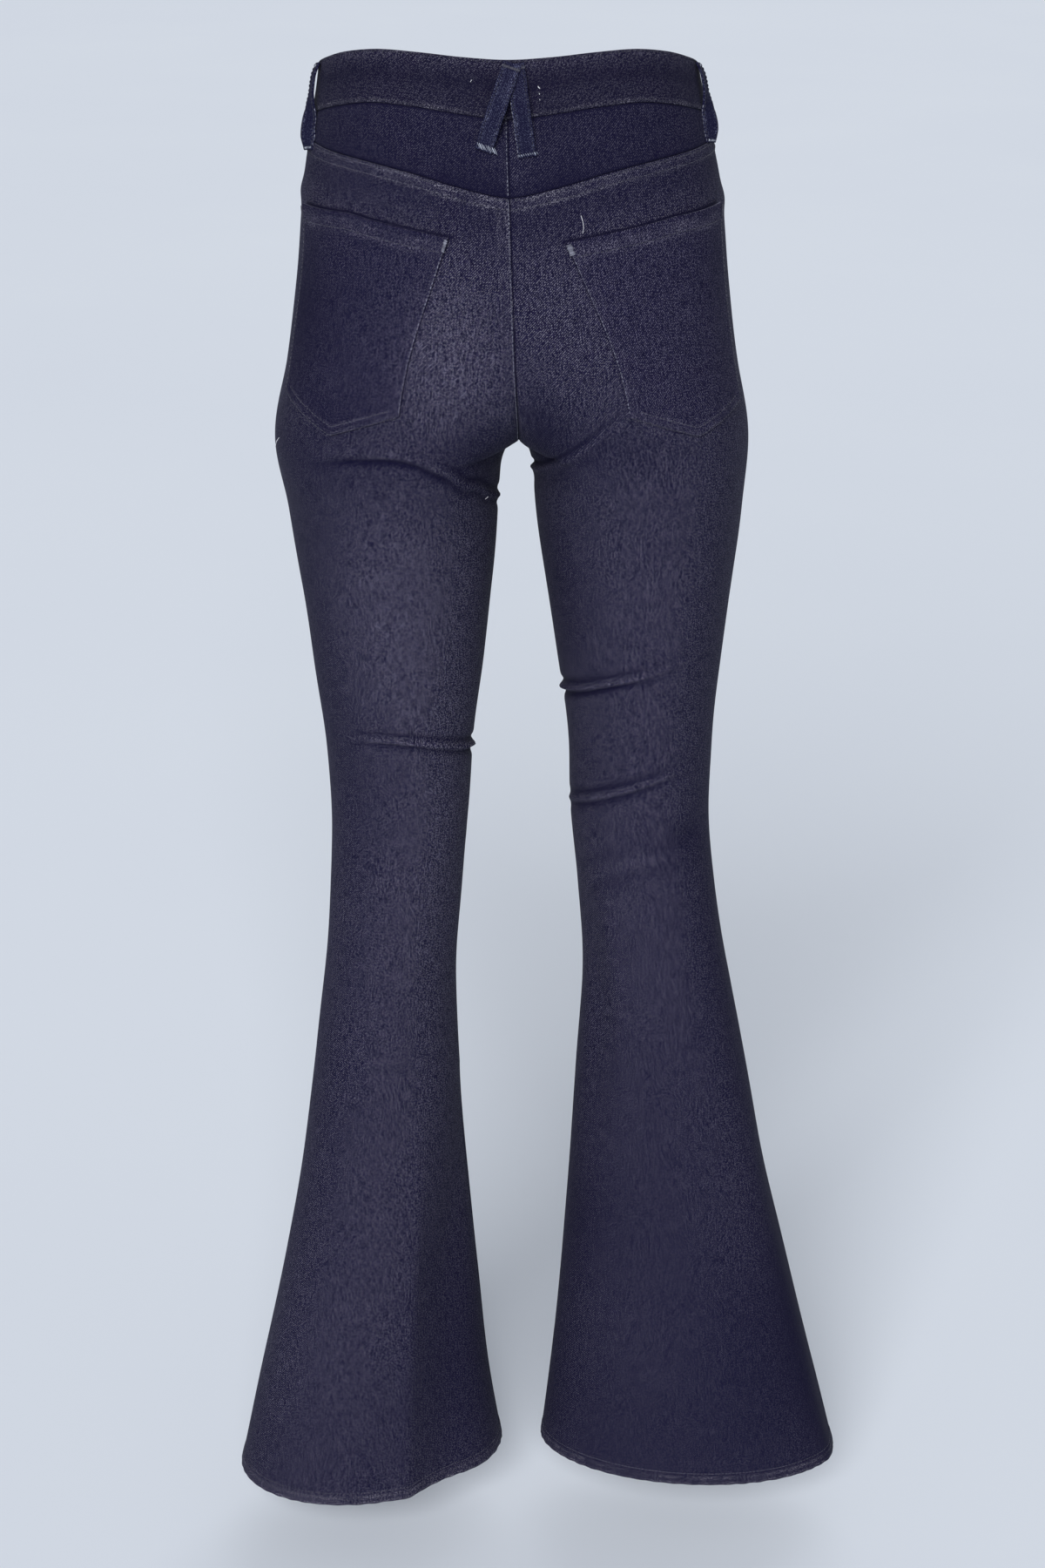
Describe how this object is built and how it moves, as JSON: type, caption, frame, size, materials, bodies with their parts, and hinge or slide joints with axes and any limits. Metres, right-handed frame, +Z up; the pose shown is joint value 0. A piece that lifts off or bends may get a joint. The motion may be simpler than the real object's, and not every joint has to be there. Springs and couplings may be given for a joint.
{
  "type": "flared jeans",
  "caption": "High-waisted flared denim jeans, hollow, in their worn shape, with a back yoke, back patch pockets, crossed belt loops at the centre back and wide hems.",
  "frame": {"origin": "middle of the waist opening, level with the top of the waistband at the centre back, where the wearer's waist holds the jeans", "axes": "+Z up, wearer's front towards -Y, wearer's left towards +X"},
  "size_m": [0.5026, 0.2345, 1.164],
  "materials": {
    "denim": "dark indigo stretch denim, right-hand twill with pale flecks",
    "folded_denim": "the same denim folded double, at the waistband, belt loops and hems",
    "button_metal": "aged, satin"
  },
  "bodies": {
    "root": {"waistband": "folded_denim", "yoke_left": "denim", "yoke_right": "denim", "back_left_seat": "denim", "back_left_thigh": "denim", "back_left_leg": "denim", "back_right_seat": "denim", "back_right_thigh": "denim", "back_right_leg": "denim", "front_left_upper": "denim", "front_left_lower": "denim", "front_right_upper": "denim", "front_right_lower": "denim", "facing_left": "denim", "facing_right": "denim", "fly": "denim", "pocket_left": "denim", "pocket_right": "denim", "hem_left": "folded_denim", "hem_right": "folded_denim", "loop_cross_over": "folded_denim", "loop_cross_under": "folded_denim", "loop_side_left": "folded_denim", "loop_side_right": "folded_denim", "loop_front_left": "folded_denim", "loop_front_right": "folded_denim", "button": "button_metal"}
  },
  "joints": []
}
